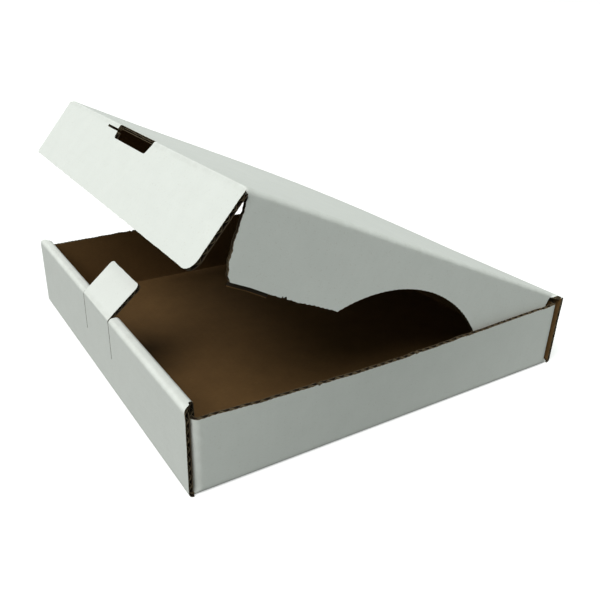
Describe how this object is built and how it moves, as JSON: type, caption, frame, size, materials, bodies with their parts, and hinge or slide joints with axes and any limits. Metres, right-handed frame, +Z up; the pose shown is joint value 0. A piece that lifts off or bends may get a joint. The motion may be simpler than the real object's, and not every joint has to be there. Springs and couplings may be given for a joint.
{
  "type": "pizza box",
  "caption": "Square folded pizza box of corrugated board, white outside and brown inside, with a part-open hinged lid, slotted front flap and lock tab.",
  "frame": {"origin": "middle of the floor's underside, midway between the side walls and between the front and rear walls", "axes": "+Z up out of the tray, -Y towards the front wall with the lock tab, +X to the right side wall seen from the front"},
  "size_m": [0.3168, 0.3104, 0.1735],
  "materials": {
    "white_liner": "matte",
    "kraft_liner": "matte",
    "cut_edge": "matte"
  },
  "bodies": {
    "tray": {"tray": "white_liner"},
    "lid": {"lid": "white_liner"},
    "front_flap": {"front_flap": "white_liner"},
    "lock_tab": {"lock_tab": "white_liner"}
  },
  "joints": [
    {"name": "lid_hinge", "type": "hinge", "parent": "tray", "child": "lid", "pos_m": [0, 0.15435, 0.0546], "axis": [-1, 0, 0], "range_deg": [-23.6, 156.4], "deforming": ["front_flap", "lock_tab"]},
    {"name": "front_flap_fold", "type": "hinge", "parent": "lid", "child": "front_flap", "pos_m": [0, -0.11469, 0.17214], "axis": [-1, 0, 0], "range_deg": [-11.2, 73.95]},
    {"name": "lock_tab_fold", "type": "hinge", "parent": "tray", "child": "lock_tab", "pos_m": [0, -0.1534, 0.0572], "axis": [1, 0, 0], "range_deg": [-63, 62]}
  ],
  "couplings": [
    {"joint": "front_flap_fold", "follows": "lid_hinge", "ratio": 0.4725}
  ]
}
